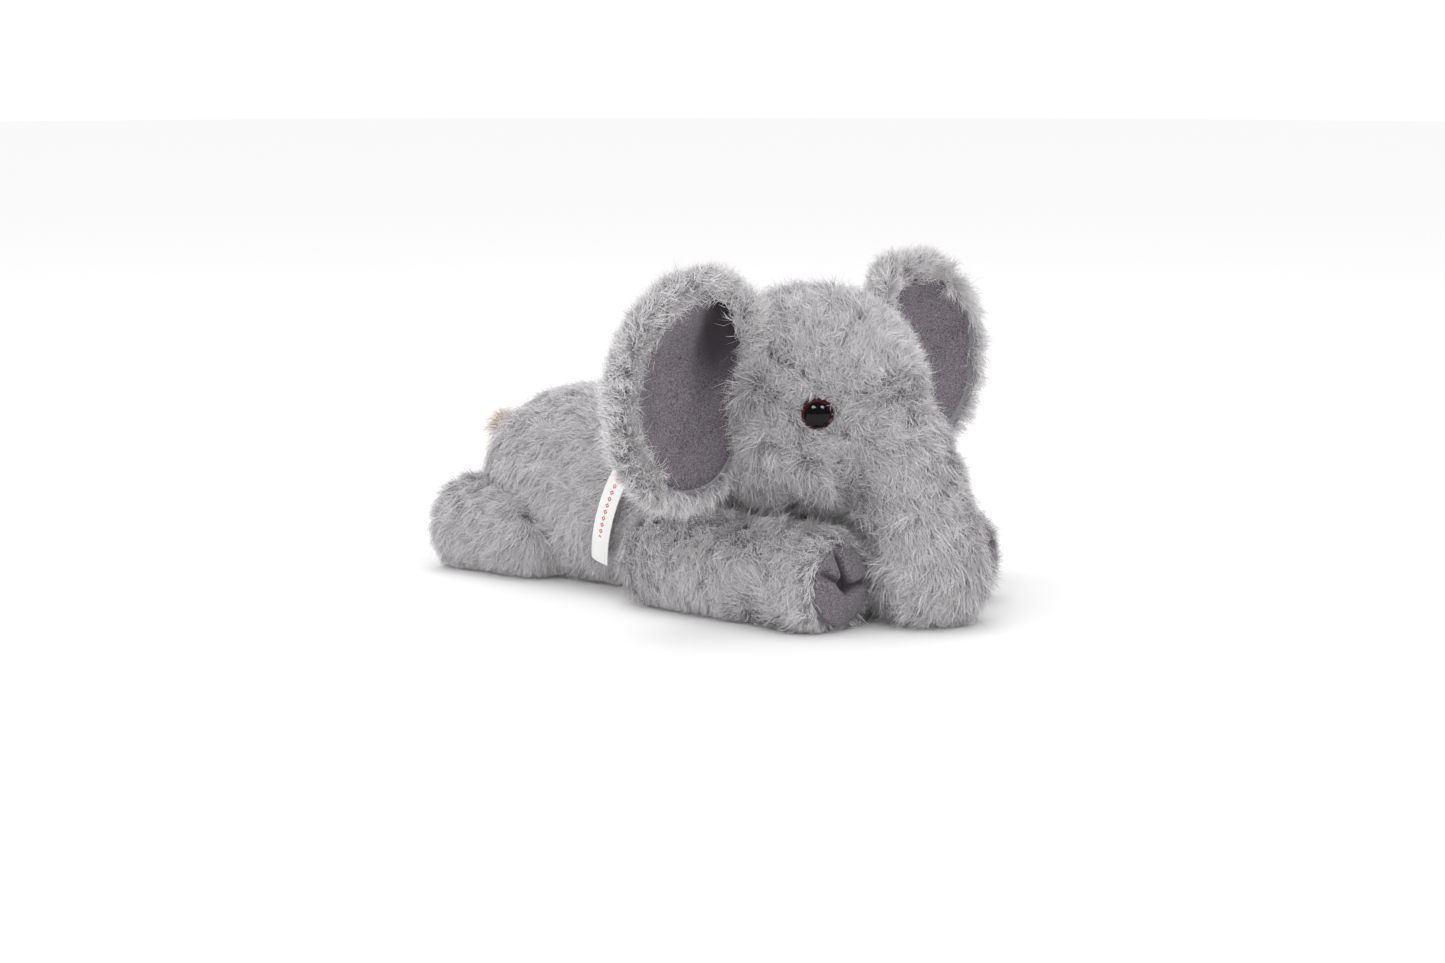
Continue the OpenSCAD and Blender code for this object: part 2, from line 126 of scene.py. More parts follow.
tent_dim = tent.new("ShaderNodeBackground")
# The tent lights the cloth, stands white behind it, and shows only dimly in glossy things.
for glow, strength in ((tent["Background"], 1.05), (tent_white, 1.0), (tent_dim, 0.22)):
    glow.inputs["Color"].default_value = (1, 1, 1, 1)
    glow.inputs["Strength"].default_value = strength
tent_links.new(tent_path.outputs["Is Glossy Ray"], tent_gloss.inputs["Fac"])
tent_links.new(tent["Background"].outputs["Background"], tent_gloss.inputs[1])
tent_links.new(tent_dim.outputs["Background"], tent_gloss.inputs[2])
tent_links.new(tent_path.outputs["Is Camera Ray"], tent_mix.inputs["Fac"])
tent_links.new(tent_gloss.outputs["Shader"], tent_mix.inputs[1])
tent_links.new(tent_white.outputs["Background"], tent_mix.inputs[2])
tent_links.new(tent_mix.outputs["Shader"], tent["World Output"].inputs["Surface"])

bpy.ops.object.select_all(action="DESELECT")
table_radius = 6
table_z = -0.0002
bpy.ops.mesh.primitive_circle_add(
    vertices=96, radius=table_radius, fill_type="NGON", location=(0, 0, table_z)
)
table = bpy.context.object
table.name = "table_top"
table_white, _, _, table_shader = new_material("table_white", 0.9)
table_shader.inputs["Base Color"].default_value = (0.9, 0.9, 0.9, 1)
table_shader.inputs["Specular IOR Level"].default_value = 0
table.data.materials.append(table_white)

# --- stuffed bodies ------------------------------------------------------------
# Each body is a closed skin of knitted backing cloth, stuffed firmly with
# fibre. The skins are blown up by the filling, so cloth simulation shapes them.
# The backing's dark grey is partly the cloth's own colour and partly painted shade for the depth of the
# pile between the strands.
backing, backing_nodes, backing_links, backing_shader = new_material("fur_backing", 0.95)
backing_place = backing_nodes.new("ShaderNodeTexCoord")
backing_patch = backing_nodes.new("ShaderNodeTexNoise")
backing_patch.inputs["Scale"].default_value = 380
backing_ramp = backing_nodes.new("ShaderNodeValToRGB")
backing_ramp.color_ramp.elements[0].color = (0.2, 0.195, 0.21, 1)
backing_ramp.color_ramp.elements[1].color = (0.33, 0.325, 0.345, 1)
backing_links.new(backing_place.outputs["Object"], backing_patch.inputs["Vector"])
backing_links.new(backing_patch.outputs["Fac"], backing_ramp.inputs["Fac"])
backing_links.new(backing_ramp.outputs["Color"], backing_shader.inputs["Base Color"])
backing_knit = backing_nodes.new("ShaderNodeTexVoronoi")
backing_knit.inputs["Scale"].default_value = 700
backing_bump = backing_nodes.new("ShaderNodeBump")
backing_bump.inputs["Strength"].default_value = 0.4
backing_bump.inputs["Distance"].default_value = 0.0005
backing_links.new(backing_place.outputs["Object"], backing_knit.inputs["Vector"])
backing_links.new(backing_knit.outputs["Distance"], backing_bump.inputs["Height"])
backing_links.new(backing_bump.outputs["Normal"], backing_shader.inputs["Normal"])


def only_select(piece):
    bpy.ops.object.select_all(action="DESELECT")
    piece.hide_viewport = False
    piece.select_set(True)
    bpy.context.view_layer.objects.active = piece


def merged_copy(name, node_names):
    """One object from copies of CAD nodes, with their loose triangles merged."""
    same_point = 0.00002
    copies = []
    for node_name in node_names:
        copied = bpy.data.objects.new(name, nodes[node_name].data.copy())
        scene.collection.objects.link(copied)
        copies.append(copied)
    bpy.ops.object.select_all(action="DESELECT")
    for copied in copies:
        copied.select_set(True)
    bpy.context.view_layer.objects.active = copies[0]
    if len(copies) > 1:
        bpy.ops.object.join()
    joined = bpy.context.object
    joined.name = name
    joined.data.materials.clear()
    bpy.ops.object.mode_set(mode="EDIT")
    bpy.ops.mesh.select_all(action="SELECT")
    bpy.ops.mesh.remove_doubles(threshold=same_point)
    bpy.ops.object.mode_set(mode="OBJECT")
    return joined


def coordinates(mesh):
    flat = np.empty(len(mesh.vertices) * 3, np.float32)
    mesh.vertices.foreach_get("co", flat)
    return flat.reshape(-1, 3).astype(float)


def put_coordinates(mesh, points):
    mesh.vertices.foreach_set("co", np.asarray(points, np.float32).ravel())
    mesh.update()


settle_steps = 20


def stuffed_skin(name, body, node_names, voxel, swell, pads=()):
    """One closed skin round the named CAD nodes. The filling swells it by swell at most, and
    pads are extra wads of filling under it."""
    skin = merged_copy(name, node_names)
    for place, size in pads:
        bpy.ops.object.select_all(action="DESELECT")
        bpy.ops.mesh.primitive_uv_sphere_add(segments=32, ring_count=16, location=place, scale=size)
        skin.select_set(True)
        bpy.context.view_layer.objects.active = skin
        bpy.ops.object.join()
    only_select(skin)
    remesh = skin.modifiers.new("even_cloth", "REMESH")
    remesh.mode = "VOXEL"
    remesh.voxel_size = voxel
    bpy.ops.object.modifier_apply(modifier=remesh.name)
    smooth = skin.modifiers.new("soften", "SMOOTH")
    smooth.factor = 0.5
    smooth.iterations = 3
    bpy.ops.object.modifier_apply(modifier=smooth.name)
    before = coordinates(skin.data)
    cloth = skin.modifiers.new("stuffed", "CLOTH")
    cloth.settings.use_pressure = True
    cloth.settings.uniform_pressure_force = 4
    cloth.settings.effector_weights.gravity = 0
    cloth.settings.quality = 4
    for step in range(1, settle_steps + 1):
        scene.frame_set(step)
    evaluated = skin.evaluated_get(bpy.context.evaluated_depsgraph_get())
    after = coordinates(evaluated.to_mesh())
    evaluated.to_mesh_clear()
    skin.modifiers.remove(cloth)
    scene.frame_set(1)
    moved = after - before
    length = np.linalg.norm(moved, axis=1, keepdims=True)
    moved *= np.minimum(1, swell / np.maximum(length, 1e-9))
    settled = before + moved
    settled[:, 2] = np.maximum(settled[:, 2], lowest_skin)
    put_coordinates(skin.data, settled)
    rounder = skin.modifiers.new("rounder", "SUBSURF")
    rounder.levels = rounder.render_levels = 1
    bpy.ops.object.modifier_apply(modifier=rounder.name)
    bpy.ops.object.shade_smooth()
    skin.data.materials.append(backing)
    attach(skin, body)
    return skin


skin_parts = {
    "torso": ["torso_back_left", "torso_back_right", "torso_belly"],
    "head": ["head_side_left", "head_side_right", "head_crown", "head_chin"],
    "trunk": ["trunk_front", "trunk_underside"],
}
for leg in ("front_leg", "hind_leg"):
    for side in sides:
        skin_parts[f"{leg}_{side}"] = [f"{leg}_{side}_outer", f"{leg}_{side}_inner"]
skins = {}
muzzle_pad = ((0, -0.087, 0.072), (0.036, 0.023, 0.026))
brow_pad = ((0, -0.095, 0.098), (0.025, 0.018, 0.026))
for body, panels in skin_parts.items():
    skins[body] = stuffed_skin(
        f"{body}_skin", body, [*panels, f"{body}_stuffing"], voxel=0.0045, swell=0.002,
        pads=(muzzle_pad, brow_pad) if body == "head" else (),
    )
    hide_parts(*panels)

# --- fur -------------------------------------------------------------------------
# Long acrylic pile, brushed the way it grows: outward from the face, back
# over the body and down the limbs. It lies in soft tufts that meet at their tips.
fur_rng = np.random.default_rng(7)


def fur_material(name, tip_light, tip_dark, root):
    """The pile is darker toward its root: painted shade deep in the pile. Its strands differ a
    little in tone (u), and v runs along a strand."""
    pile, n, links, shader = new_material(name, 0.62)
    shader.inputs["Specular IOR Level"].default_value = 0.35
    shader.inputs["Sheen Weight"].default_value = 0.25
    shader.inputs["Sheen Roughness"].default_value = 0.5
    uv = n.new("ShaderNodeUVMap")
    uv.uv_map = "OFBake"
    split = n.new("ShaderNodeSeparateXYZ")
    along = n.new("ShaderNodeValToRGB")
    along.color_ramp.elements[0].color = (0, 0, 0, 1)
    along.color_ramp.elements[1].color = (1, 1, 1, 1)
    along.color_ramp.elements[1].position = 0.75
    shade = n.new("ShaderNodeMix")
    shade.data_type = "RGBA"
    shade.inputs["A"].default_value = (*tip_dark, 1)
    shade.inputs["B"].default_value = (*tip_light, 1)
    # Painted shade: the colour falls to the root colour toward the skin, for the shade deep in the pile.
    depth = n.new("ShaderNodeMix")
    depth.data_type = "RGBA"
    depth.inputs["A"].default_value = (*root, 1)
    links.new(uv.outputs["UV"], split.inputs["Vector"])
    links.new(split.outputs["Y"], along.inputs["Fac"])
    links.new(split.outputs["X"], shade.inputs["Factor"])
    links.new(along.outputs["Color"], depth.inputs["Factor"])
    links.new(shade.outputs["Result"], depth.inputs["B"])
    links.new(depth.outputs["Result"], shader.inputs["Base Color"])
    return pile


# Each root colour is painted shade, darker than the strands' own grey or tan.
fur_grey = fur_material(
    "fur_grey", tip_light=(0.93, 0.915, 0.925), tip_dark=(0.54, 0.525, 0.54), root=(0.29, 0.277, 0.291)
)
# Painted light: a lighter copy of the grey fur for the ear rims, where the standing hair catches the
# light.
fur_lit_rim = fur_material(
    "fur_grey_lit_rim", tip_light=(0.96, 0.945, 0.95), tip_dark=(0.64, 0.625, 0.64), root=(0.46, 0.445, 0.46)
)
fur_tan = fur_material(
    "fur_tan", tip_light=(0.86, 0.78, 0.71), tip_dark=(0.66, 0.57, 0.5), root=(0.38, 0.32, 0.28)
)


def unit(vectors):
    return vectors / np.maximum(np.linalg.norm(vectors, axis=-1, keepdims=True), 1e-9)


def surface_of(mesh):
    """Corners, corner normals and areas of a mesh's triangles."""
    mesh.calc_loop_triangles()
    corner = np.empty(len(mesh.loop_triangles) * 3, np.int32)
    mesh.loop_triangles.foreach_get("vertices", corner)
    corner = corner.reshape(-1, 3)
    points = coordinates(mesh)
    normal = np.empty(len(mesh.vertices) * 3, np.float32)
    mesh.vertex_normals.foreach_get("vector", normal)
    normal = normal.reshape(-1, 3).astype(float)
    tri = points[corner]
    area = 0.5 * np.linalg.norm(np.cross(tri[:, 1] - tri[:, 0], tri[:, 2] - tri[:, 0]), axis=1)
    return tri, normal[corner], area


def tree_of(mesh):
    """Search tree over a mesh's triangles."""
    mesh.calc_loop_triangles()
    points = [v.co[:] for v in mesh.vertices]
    return BVHTree.FromPolygons(points, [t.vertices[:] for t in mesh.loop_triangles])


def depth_inside(tree, points):
    """How deep each point lies inside a closed mesh; negative outside."""
    found = []
    for p in points:
        near, normal, _, gap = tree.find_nearest(Vector(p))
        found.append(gap if (Vector(p) - near).dot(normal) < 0 else -gap)
    return np.array(found)


def between(low, high, count):
    """Random numbers from low to high."""
    return low + (high - low) * fur_rng.random(count)


def scatter(tri, normal, area, count):
    """Random points on the triangles, evenly spread, with the normal at each."""
    chosen = fur_rng.choice(len(area), count, p=area / area.sum())
    a = np.sqrt(fur_rng.random(count))
    b = fur_rng.random(count)
    share = np.stack([1 - a, a * (1 - b), a * b], 1)[:, :, None]
    return (tri[chosen] * share).sum(1), unit((normal[chosen] * share).sum(1))


def swirl(points, scale, seed):
    """Slow, smooth noise in three directions: a few waves, brought back to about unit height."""
    waves, height = 5, 2.2
    own = np.random.default_rng(seed)
    total = np.zeros_like(points)
    for _ in range(waves):
        wave = own.normal(size=(3, 3)) * scale
        shift = own.random(3) * 6.3
        total += np.sin(points @ wave.T + shift)
    return total / height


def nearest_tuft(points, tufts):
    """Index of the nearest tuft centre for each point."""
    tree = KDTree(len(tufts))
    for i, t in enumerate(tufts):
        tree.insert(t, i)
    tree.balance()
    return np.array([tree.find(p)[1] for p in points])


def strand_line(root, normal, lie, length, rise, sag, steps):
    """Points along each strand: it rises from the skin, then lies over along lie."""
    t = np.linspace(0, 1, steps)[None, :, None]
    up = normal[:, None] * rise[:, None, None] * t * (1 - 0.5 * t)
    over = lie[:, None] * t * (0.35 + 0.45 * t)
    drop = np.array([0, 0, -1.0])[None, None] * sag[:, None, None] * t * t
    return root[:, None] + length[:, None, None] * (up + over + drop)


strand_steps = 3
strand_points = 5
strand_corners = [1, 0, 2, 3, 3, 2, 4]
strand_face_starts = [0, 4]


def fur_coat(name, body, surface, count, flow, look):
    """A coat of flat tapered strands on the surface's triangles: each is a quad and a triangle.
    flow gives the brushed direction, and look the length, rise and sag at each root."""
    root, root_n = scatter(*surface, count)
    tufts = max(8, int(surface[2].sum() * 1e6 / look["tuft_mm2"]))
    tuft_at, tuft_n = scatter(*surface, tufts)
    tuft = nearest_tuft(root, tuft_at)

    # Every tuft is brushed its own way. Every strand follows its tuft, more or less.
    wild = look["wild"]
    tuft_lie = unit(flow(tuft_at)) + wild * swirl(tuft_at, 70, 3) + 0.7 * wild * swirl(tuft_at, 210, 5)
    tuft_lie = unit(tuft_lie - tuft_n * (tuft_lie * tuft_n).sum(1, keepdims=True))
    tuft_lie = unit(tuft_lie + fur_rng.normal(size=tuft_lie.shape) * look["tuft_turn"])
    tuft_len = look["length"] * between(0.85, 1.15, tufts)
    tuft_rise = look["rise"] * between(0.75, 1.25, tufts)
    own = unit(tuft_lie[tuft] + look["mess"] * fur_rng.normal(size=root.shape))
    own = unit(own - 0.85 * root_n * (own * root_n).sum(1, keepdims=True))
    length = tuft_len[tuft] * between(0.7, 1.15, count)
    if "shorter" in look:
        length = length * look["shorter"](root)
    rise = tuft_rise[tuft] * between(0.8, 1.2, count)
    line = strand_line(root, root_n, own, length, rise, np.full(count, look["sag"]), strand_steps)
    tuft_sag = np.full(tufts, look["sag"])
    lead = strand_line(tuft_at, tuft_n, tuft_lie, tuft_len, tuft_rise, tuft_sag, strand_steps)

    # The strands of a tuft gather toward its middle strand, except for some loose ones.
    grow = np.linspace(0, 1, strand_steps)
    loose = fur_rng.random(count) < look["loose"]
    pull = look["gather"] * np.where(loose, 0.0, between(0.6, 1.0, count))
    pull = pull[:, None, None] * grow[None, :, None] ** 1.2
    reach = np.minimum(1, length / tuft_len[tuft])[:, None, None]
    toward = (tuft_at[tuft] - root)[:, None] * grow[None, :, None]
    aim = root[:, None] + (lead[tuft] - tuft_at[tuft][:, None]) * reach + toward
    line = line * (1 - pull) + aim * pull
    line[:, 1:] += fur_rng.normal(size=(count, strand_steps - 1, 3)) * look["frizz"]
    line[:, :, 2] = np.maximum(line[:, :, 2], lowest_pile)

    # Each strand is a flat ribbon, turned a little about its length, that ends in a point.
    along = unit(np.diff(line, axis=1))
    turn = fur_rng.normal(size=(count, 1)) * 0.4
    side = unit(np.cross(root_n[:, None], along))
    face = unit(np.cross(along, side))
    side = side * np.cos(turn)[:, None] + face * np.sin(turn)[:, None]
    width = look["width"] * between(0.7, 1.3, count)
    half = 0.5 * width[:, None] * np.array([1.0, 0.85])
    left = line[:, :2] + side * half[:, :, None]
    right = line[:, :2] - side * half[:, :, None]
    points = np.stack([left[:, 0], right[:, 0], left[:, 1], right[:, 1], line[:, 2]], 1)
    strand = np.arange(count)[:, None]
    per_strand = len(strand_corners)
    loops = strand * strand_points + np.array([strand_corners])
    starts = strand * per_strand + np.array([strand_face_starts])
    tuft_shade = look["shade"] + look["patchy"] * fur_rng.normal(size=tufts)
    shade = np.clip(tuft_shade[tuft] + 0.2 * fur_rng.normal(size=count), 0.02, 0.98)
    along_v = np.array([0.02, 0.02, 0.5, 0.5, 0.98])[strand_corners]
    mesh = bpy.data.meshes.new(name)
    mesh.vertices.add(count * strand_points)
    mesh.vertices.foreach_set("co", points.astype(np.float32).ravel())
    mesh.loops.add(count * per_strand)
    mesh.loops.foreach_set("vertex_index", loops.astype(np.int32).ravel())
    mesh.polygons.add(starts.size)
    mesh.polygons.foreach_set("loop_start", starts.astype(np.int32).ravel())
    mesh.polygons.foreach_set("use_smooth", np.ones(starts.size, bool))
    mesh.update(calc_edges=True)
    uv = mesh.uv_layers.new(name="OFBake")
    pairs = np.stack([np.repeat(shade[:, None], per_strand, 1), np.repeat(along_v[None], count, 0)], 2)
    uv.data.foreach_set("uv", pairs.astype(np.float32).ravel())
    mesh.materials.append(look["material"])
    coat = bpy.data.objects.new(name, mesh)
    scene.collection.objects.link(coat)
    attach(coat, body)
    return coat


def box_middle(node_name):
    low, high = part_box(node_name)
    return (low + high) / 2


head_mid = box_middle("head_side_left")
face_front = np.array(joint_at["trunk_bend"])


def torso_flow(p):
    lie = np.zeros_like(p)
    lie[:, 1] = 0.55
    lie[:, 0] = np.sign(p[:, 0]) * 0.35
    lie[:, 2] = -1.0
    return lie


def head_flow(p):
    lie = p - face_front + np.array([0, 0, 0.02])
    lie = unit(lie) * 0.9
    lie[:, 2] -= 0.55
    return lie


def trunk_flow(p):
    lie = np.zeros_like(p)
    lie[:, 2] = -1
    lie[:, 1] = -0.5
    return lie


def near_points(points, centre, reach):
    """1 at the centre, falling to 0 at reach."""
    gap = np.linalg.norm(points - np.array(centre), axis=1)
    return np.clip(1 - gap / reach, 0, 1)


def sole_end(sign, sole):
    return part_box(sole)[0 if sign < 0 else 1].y


def leg_flow(sign, sole):
    """Down the leg, and turned back round the edge of the foot."""
    end = sole_end(sign, sole)
    turned = 0.02

    def flow(p):
        to_sole = np.clip(1 - np.abs(p[:, 1] - end) / turned, 0, 1)
        lie = np.zeros_like(p)
        lie[:, 1] = sign * (1 - 1.7 * to_sole)
        lie[:, 2] = -0.6
        return lie

    return flow


def leg_shorter(sign, sole):
    """Trimmed to half its length round the foot."""
    end = sole_end(sign, sole)
    trimmed = 0.012

    def shorter(p):
        return 1 - 0.5 * np.clip(1 - np.abs(p[:, 1] - end) / trimmed, 0, 1)

    return shorter


eye_middle = {side: box_middle(f"eye_{side}") for side in sides}
tail_middle = box_middle("tail")


def head_shorter(p):
    """Trimmed round the eyes."""
    trimmed = 0.024
    to_eye = [near_points(p, eye_middle[side], trimmed) for side in sides]
    return 1 - 0.8 * np.maximum(*to_eye)


def torso_shorter(p):
    """Trimmed away under the tail."""
    trimmed = 0.052
    return 1 - 1.2 * near_points(p, tail_middle, trimmed)


def trunk_longer(p):
    """Longer toward the tip of the trunk, which lies low."""
    longer_below, over = 0.06, 0.05
    return 1 + 0.4 * np.clip((longer_below - p[:, 2]) / over, 0, 1)


look = {
    "length": 0.0112, "rise": 0.85, "sag": 0.07, "wild": 0.55, "tuft_turn": 0.5, "tuft_mm2": 4,
    "mess": 0.4, "gather": 0.32, "width": 0.00025, "frizz": 0.0007, "loose": 0.2, "patchy": 0.14,
    "shade": 0.5, "material": fur_grey,
}
head_look = dict(look, rise=1.1, wild=0.9, tuft_turn=0.7, mess=0.5, shorter=head_shorter)
trunk_look = dict(look, rise=1.0, wild=0.65, shorter=trunk_longer)
looks = {"head": head_look, "torso": dict(look, shorter=torso_shorter), "trunk": trunk_look}
flows = {"torso": torso_flow, "head": head_flow, "trunk": trunk_flow}
for side in sides:
    for leg, sign in (("front_leg", -1), ("hind_leg", 1)):
        sole = f"{leg}_{side}_sole"
        flows[f"{leg}_{side}"] = leg_flow(sign, sole)
        looks[f"{leg}_{side}"] = dict(look, shorter=leg_shorter(sign, sole))
skin_trees = {body: tree_of(skin.data) for body, skin in skins.items()}
strands_per_mm2 = 4
bare_gap, buried = 0.0015, -0.0005
leg_reach, body_reach = 0.006, 0.014
sole_facing = 0.82
bare_eye_ring = 0.0078


def coat_count(area):
    return min(most_strands, int(area.sum() * 1e6 * strands_per_mm2))


for body, panels in skin_parts.items():
    tri, normal, area = surface_of(skins[body].data)
    middle = tri.mean(1)
    outward = unit(normal.mean(1))
    # No pile where a skin is pressed against another one, or far from the panel's own cloth.
    hidden = np.zeros(len(area), bool)
    for other, tree in skin_trees.items():
        if other != body:
            hidden |= depth_inside(tree, middle + outward * bare_gap) > buried
    panel_trees = [tree_of(merged_copy("seam_guide", [p]).data) for p in panels]
    gap = np.array([[t.find_nearest(Vector(m))[3] for t in panel_trees] for m in middle])
    nearest = gap.argmin(1)
    hidden |= gap.min(1) > (leg_reach if "leg" in body else body_reach)
    if "leg" in body:
        toe_side = -1 if body.startswith("front") else 1
        hidden |= outward[:, 1] * toe_side > sole_facing
    if body == "head":
        for side in sides:
            hidden |= near_points(middle, eye_middle[side], bare_eye_ring) > 0
    for i, panel in enumerate(panels):
        keep = (nearest == i) & ~hidden
        surface = (tri[keep], normal[keep], area[keep])
        coat = fur_coat(f"{panel}_fur", body, surface, coat_count(area[keep]), flows[body], looks[body])
        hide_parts(panel)
for o in [o for o in bpy.data.objects if o.name.startswith("seam_guide")]:
    bpy.data.objects.remove(o)

# --- ears ------------------------------------------------------------------------
# An ear is a fur back and a suede front, sewn round the edge and turned, with no
# filling. It is cupped, and its front root is pleated forward against the head.
suede, suede_nodes, suede_links, suede_shader = new_material("suede_grey", 0.88)
suede_shader.inputs["Specular IOR Level"].default_value = 0.2
suede_shader.inputs["Sheen Weight"].default_value = 0.35
suede_shader.inputs["Sheen Roughness"].default_value = 0.4
suede_place = suede_nodes.new("ShaderNodeTexCoord")
suede_nap = suede_nodes.new("ShaderNodeTexNoise")
suede_nap.inputs["Scale"].default_value = 1500
suede_nap.inputs["Detail"].default_value = 3
suede_rub = suede_nodes.new("ShaderNodeTexNoise")
suede_rub.inputs["Scale"].default_value = 90
suede_rub.inputs["Detail"].default_value = 4
suede_mottle = suede_nodes.new("ShaderNodeMath")
suede_mottle.operation = "MULTIPLY_ADD"
suede_mottle.inputs[1].default_value = 0.2
suede_colour = suede_nodes.new("ShaderNodeValToRGB")
suede_colour.color_ramp.elements[0].position = 0.42
suede_colour.color_ramp.elements[0].color = (0.075, 0.063, 0.075, 1)
suede_colour.color_ramp.elements[1].position = 0.8
suede_colour.color_ramp.elements[1].color = (0.3, 0.27, 0.3, 1)
suede_bump = suede_nodes.new("ShaderNodeBump")
suede_bump.inputs["Strength"].default_value = 0.7
suede_bump.inputs["Distance"].default_value = 0.0003
suede_links.new(suede_place.outputs["Object"], suede_nap.inputs["Vector"])
suede_links.new(suede_place.outputs["Object"], suede_rub.inputs["Vector"])
suede_links.new(suede_rub.outputs["Fac"], suede_mottle.inputs[0])
suede_links.new(suede_nap.outputs["Fac"], suede_mottle.inputs[2])
suede_links.new(suede_mottle.outputs["Value"], suede_colour.inputs["Fac"])
# Painted shade: v of the own UV mixes the suede toward near-black where it lies deep in a fold.
suede_uv = suede_nodes.new("ShaderNodeUVMap")
suede_uv.uv_map = "OFBake"
suede_split = suede_nodes.new("ShaderNodeSeparateXYZ")
suede_fold_shade = suede_nodes.new("ShaderNodeMix")
suede_fold_shade.data_type = "RGBA"
suede_fold_shade.inputs["B"].default_value = (0.035, 0.03, 0.036, 1)
suede_links.new(suede_uv.outputs["UV"], suede_split.inputs["Vector"])
suede_links.new(suede_split.outputs["Y"], suede_fold_shade.inputs["Factor"])
suede_links.new(suede_colour.outputs["Color"], suede_fold_shade.inputs["A"])
suede_links.new(suede_fold_shade.outputs["Result"], suede_shader.inputs["Base Color"])
suede_links.new(suede_nap.outputs["Fac"], suede_bump.inputs["Height"])
suede_links.new(suede_bump.outputs["Normal"], suede_shader.inputs["Normal"])


def paint_fold_shade(piece, folded):
    """Painted shade in folds: v of the own UV says how deep in a fold each point is, and the suede is
    darkened there.
    """
    fold_shade_map = piece.data.uv_layers.new(name="OFBake")
    for loop in piece.data.loops:
        fold_shade_map.data[loop.index].uv = (0.5, folded[loop.vertex_index])


_, head_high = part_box("head_side_left")
ear_low, ear_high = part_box("ear_back_left")
ear_root = joint_at["ear_left_flap"]
ear_wide = ear_high.x - ear_root.x
ear_tall = ear_high.z - ear_low.z
ear_sweep = math.radians(-4)
ear_around = 72
ear_mid_u = ear_wide / 2 + 0.002
ear_roundness = 0.9
ear_lean_top, ear_lean_bottom = 0.011, 0.009
cheek_half_height, cheek_roundness, cheek_gap = 0.0495, 2.3, 0.0025


def ear_edge(angle):
    """Edge of the ear in its own frame: u outward, v up. The top leans in over the head."""
    rise = np.maximum(0, np.sin(angle))
    fall = np.maximum(0, -np.sin(angle))
    u = ear_wide / 2 * (1 + np.sign(np.cos(angle)) * np.abs(np.cos(angle)) ** ear_roundness)
    u = u - ear_lean_top * rise**2 - ear_lean_bottom * fall**2
    v = ear_tall / 2 * np.sign(np.sin(angle)) * np.abs(np.sin(angle)) ** ear_roundness
    off_centre = np.abs((ear_root.z + v - head_mid.z) / cheek_half_height)
    over_cheek = np.minimum(1, off_centre**cheek_roundness)
    cheek = head_high.x * (1 - over_cheek) ** (1 / cheek_roundness)
    return np.maximum(u, cheek + cheek_gap - ear_root.x), v


def ear_forward(u, v):
    """How far the cloth stands forward: a cup, with the pleat at the front of its root."""
    across = (u - ear_wide / 2) / (ear_wide / 2)
    up = v / (ear_tall / 2)
    cup = 0.014 * (0.75 * across**2 + 0.3 * up**2 - 0.35) + 0.014 * np.maximum(0, up) ** 2
    pleat = 0.010 * np.exp(-((u - 0.001) / 0.008) ** 2) / (1 + np.exp(-v / 0.008))
    pleat = pleat - 0.005 * np.exp(-((u - 0.016) / 0.008) ** 2) / (1 + np.exp(-v / 0.008))
    return cup + pleat


def ear_surface(side, share, angle, off):
    """Points on the ear: share runs from the middle to the edge, off is forward of the cloth."""
    edge_u, edge_v = ear_edge(angle)
    u = ear_mid_u + share * (edge_u - ear_mid_u)
    v = share * edge_v
    w = ear_forward(u, v) + off
    sign = 1 if side == "left" else -1
    x = ear_root.x + u * math.cos(ear_sweep) + w * math.sin(ear_sweep)
    y = ear_root.y + u * math.sin(ear_sweep) - w * math.cos(ear_sweep)
    return np.stack([sign * x, y, ear_root.z + v], -1)


def lofted(name, rings):
    """A closed skin through rings of points, with a fan at each end, facing outward."""
    count = rings[0].shape[0]
    points = [p for ring in rings for p in ring] + [rings[0].mean(0), rings[-1].mean(0)]
    faces = []
    for i in range(len(rings) - 1):
        for j in range(count):
            k = (j + 1) % count
            faces.append((i * count + j, i * count + k, (i + 1) * count + k, (i + 1) * count + j))
    last = (len(rings) - 1) * count
    for j in range(count):
        k = (j + 1) % count
        faces.append((len(points) - 2, k, j))
        faces.append((len(points) - 1, last + j, last + k))
    mesh = bpy.data.meshes.new(name)
    mesh.from_pydata([tuple(p) for p in points], [], faces)
    piece = bpy.data.objects.new(name, mesh)
    scene.collection.objects.link(piece)
    only_select(piece)
    bpy.ops.object.mode_set(mode="EDIT")
    bpy.ops.mesh.select_all(action="SELECT")
    bpy.ops.mesh.normals_make_consistent(inside=False)
    bpy.ops.object.mode_set(mode="OBJECT")
    bpy.ops.object.shade_smooth()
    return piece


ear_angles = np.linspace(0, 2 * math.pi, ear_around, endpoint=False)


def rim_width(angle, side):
    """Width of the fur rim round the lining. The two ears were turned out by hand and differ."""
    stops = np.radians([-180, -150, -120, -90, -65, -40, 0, 25, 45, 65, 90, 120, 150, 180])
    if side == "right":
        widths_mm = [0, 1, 3, 5, 11, 16.5, 10.5, 16.5, 22, 18, 8.5, 6, 6, 2]
    else:
        widths_mm = [2, 1, 3, 5, 5, 4, 4, 4, 5, 7, 12, 15, 13, 6]
    return np.interp((angle + math.pi) % (2 * math.pi) - math.pi, stops, widths_mm) / 1000


ear_u, ear_v = ear_edge(ear_angles)
ear_radius = np.hypot(ear_u - ear_mid_u, ear_v)
back_shares = (0.03, 0.15, 0.3, 0.45, 0.6, 0.75)
lining_shares = (0.03, 0.1, 0.2, 0.3, 0.4, 0.5, 0.6, 0.7, 0.8, 0.93, 0.985)
lining_near, faces_front, inside_by = 0.0011, 0.15, 0.001


def ear_ring(side, share, off):
    return ear_surface(side, share * np.ones(ear_around), ear_angles, off)
